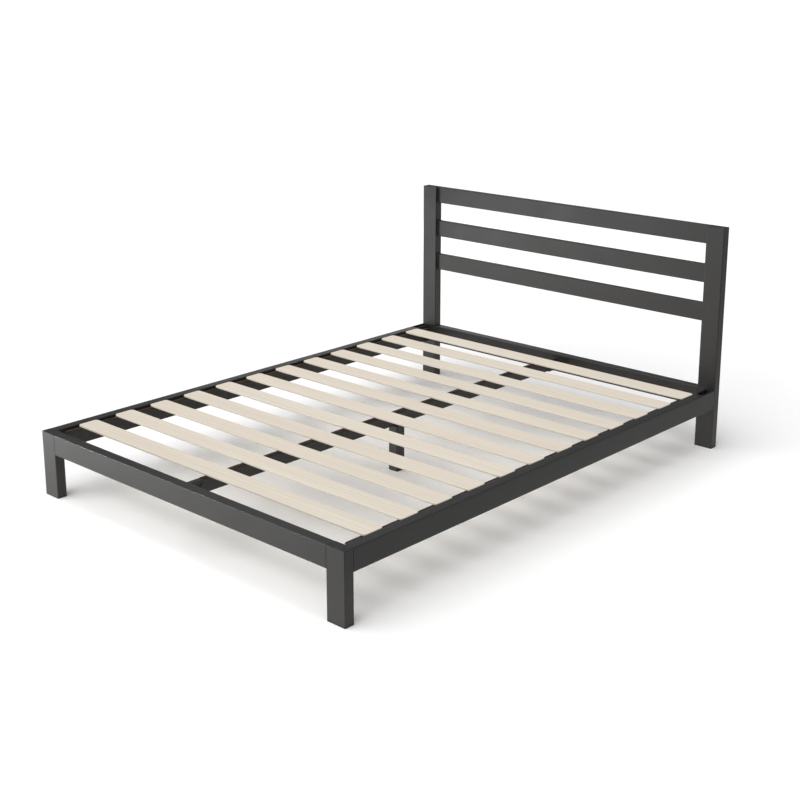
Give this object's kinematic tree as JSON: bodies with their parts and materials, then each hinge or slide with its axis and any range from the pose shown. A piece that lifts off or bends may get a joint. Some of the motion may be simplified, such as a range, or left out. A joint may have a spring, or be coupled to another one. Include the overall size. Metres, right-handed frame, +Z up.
{
  "type": "bed frame",
  "caption": "Metal platform bed frame of flat rectangular tube, with a slatted wooden deck, straight legs and a low open headboard of horizontal bars.",
  "frame": {"origin": "on the floor, under the middle of the frame", "axes": "+X to the right seen from the foot, +Y from the foot to the headboard, +Z up"},
  "size_m": [1.608, 2.192, 0.932],
  "materials": {
    "coated_steel": "fine-textured satin charcoal powder coat",
    "slat_wood": "pale planed wood, matt",
    "grip_tape": "dark woven grip tape",
    "black_plastic": "moulded, fine matt texture",
    "blackened_steel": "black oxide on the fasteners that show",
    "zinc_steel": "bright zinc plate"
  },
  "bodies": {
    "root": {"centre_glide": "black_plastic", "centre_leg": "coated_steel", "centre_leg_plate": "coated_steel", "centre_leg_saddle": "coated_steel", "centre_rail": "coated_steel", "centre_tape": "grip_tape", "cross_bolt_nuts": "blackened_steel", "cross_bolts": "blackened_steel", "foot_rail": "coated_steel", "front_glide_left": "black_plastic", "front_glide_right": "black_plastic", "front_leg_cap_left": "black_plastic", "front_leg_cap_right": "black_plastic", "front_leg_left": "coated_steel", "front_leg_right": "coated_steel", "hanger_foot": "coated_steel", "hanger_head": "coated_steel", "hanger_nuts": "zinc_steel", "hanger_screws": "blackened_steel", "head_rail": "coated_steel", "headboard_bar_bottom": "coated_steel", "headboard_bar_middle": "coated_steel", "headboard_bar_top": "coated_steel", "headboard_post_left": "coated_steel", "headboard_post_right": "coated_steel", "joint_bolts": "zinc_steel", "joint_nuts": "zinc_steel", "joint_washers": "zinc_steel", "ledge_tape_left": "grip_tape", "ledge_tape_right": "grip_tape", "post_cap_left": "black_plastic", "post_cap_right": "black_plastic", "rail_end_plates": "coated_steel", "rear_glide_left": "black_plastic", "rear_glide_right": "black_plastic", "side_rail_left": "coated_steel", "side_rail_right": "coated_steel", "slat_01": "slat_wood", "slat_02": "slat_wood", "slat_03": "slat_wood", "slat_04": "slat_wood", "slat_05": "slat_wood", "slat_06": "slat_wood", "slat_07": "slat_wood", "slat_08": "slat_wood", "slat_09": "slat_wood", "slat_10": "slat_wood", "slat_11": "slat_wood", "slat_12": "slat_wood", "slat_ledge_left": "coated_steel", "slat_ledge_right": "coated_steel", "slat_pads_centre": "grip_tape", "slat_pads_left": "grip_tape", "slat_pads_right": "grip_tape"}
  },
  "joints": []
}
